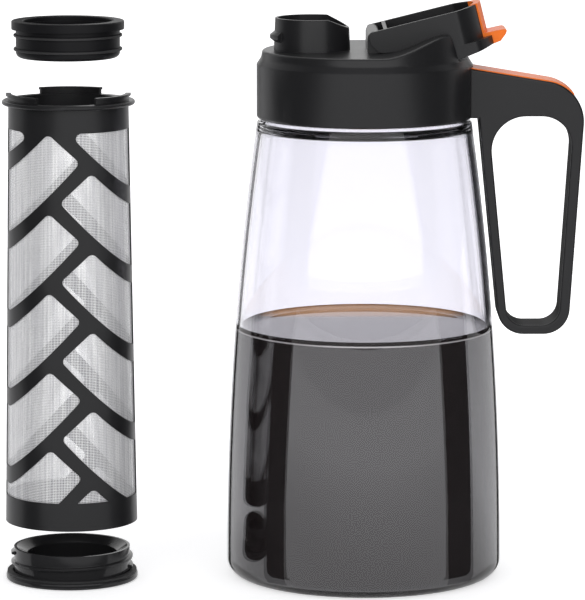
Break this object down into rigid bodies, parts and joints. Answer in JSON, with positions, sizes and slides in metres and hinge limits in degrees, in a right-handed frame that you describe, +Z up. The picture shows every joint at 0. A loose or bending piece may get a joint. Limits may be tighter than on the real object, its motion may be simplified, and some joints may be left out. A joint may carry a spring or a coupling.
{
  "type": "cold brew coffee maker",
  "caption": "Tapered glass carafe with screw lid, flip spout and loop handle, holding coffee, beside a tall mesh brew filter with its plug and threaded end cap.",
  "frame": {"origin": "middle of the carafe's base, on the surface it stands on", "axes": "+Z up along the carafe's axis, +X towards the handle; the filter stands on the -X side"},
  "size_m": [0.2535, 0.121, 0.2541],
  "materials": {
    "glass": "polished",
    "coffee": "polished",
    "black_plastic": "satin",
    "glossy_black": "gloss",
    "orange": "satin",
    "silicone": "matte",
    "clear_silicone": "satin",
    "steel": "satin"
  },
  "bodies": {
    "carafe_body": {"carafe": "glass", "coffee": "coffee"},
    "gasket_body": {"lid_gasket": "clear_silicone"},
    "lid_body": {"collar": "black_plastic", "lid_top": "black_plastic", "bayonet_ring": "black_plastic", "handle": "black_plastic", "handle_strip": "orange", "handle_screws": "steel", "flap_pin": "steel"},
    "flap_body": {"flap": "black_plastic", "flap_latch": "orange", "flap_seal": "clear_silicone"},
    "filter_body": {"filter_frame": "black_plastic", "filter_mesh": "steel"},
    "top_cap_body": {"top_cap": "black_plastic", "top_cap_seal_lower": "silicone", "top_cap_seal_upper": "silicone"},
    "cap_seal_body": {"bottom_cap_seal": "silicone"},
    "bottom_cap_body": {"bottom_cap": "glossy_black"}
  },
  "joints": [
    {"name": "lid_lift", "type": "slide", "parent": "carafe_body", "child": "gasket_body", "axis": [0, 0, 1], "range_m": [0, 0.0041]},
    {"name": "lid_turn", "type": "hinge", "parent": "gasket_body", "child": "lid_body", "pos_m": [0, 0, 0.2265], "axis": [0, 0, 1], "range_deg": [0, 120]},
    {"name": "flap_hinge", "type": "hinge", "parent": "lid_body", "child": "flap_body", "pos_m": [0.0038, 0, 0.2392], "axis": [0, -1, 0], "range_deg": [0, 166]},
    {"name": "filter_lift", "type": "slide", "parent": "carafe_body", "child": "filter_body", "axis": [0, 0, 1], "range_m": [0, 0.06]},
    {"name": "top_cap_pull", "type": "slide", "parent": "filter_body", "child": "top_cap_body", "axis": [0, 0, 1], "range_m": [-0.0309, 0.03]},
    {"name": "bottom_cap_lift", "type": "slide", "parent": "filter_body", "child": "cap_seal_body", "axis": [0, 0, 1], "range_m": [0, 0.0225]},
    {"name": "bottom_cap_turn", "type": "hinge", "parent": "cap_seal_body", "child": "bottom_cap_body", "pos_m": [-0.129, -0.01, 0], "axis": [0, 0, 1], "range_deg": [0, 1943.1]}
  ],
  "couplings": [
    {"joint": "lid_lift", "follows": "lid_turn", "m_per_rad": 0.0019099},
    {"joint": "bottom_cap_lift", "follows": "bottom_cap_turn", "m_per_rad": 0.00066049}
  ]
}
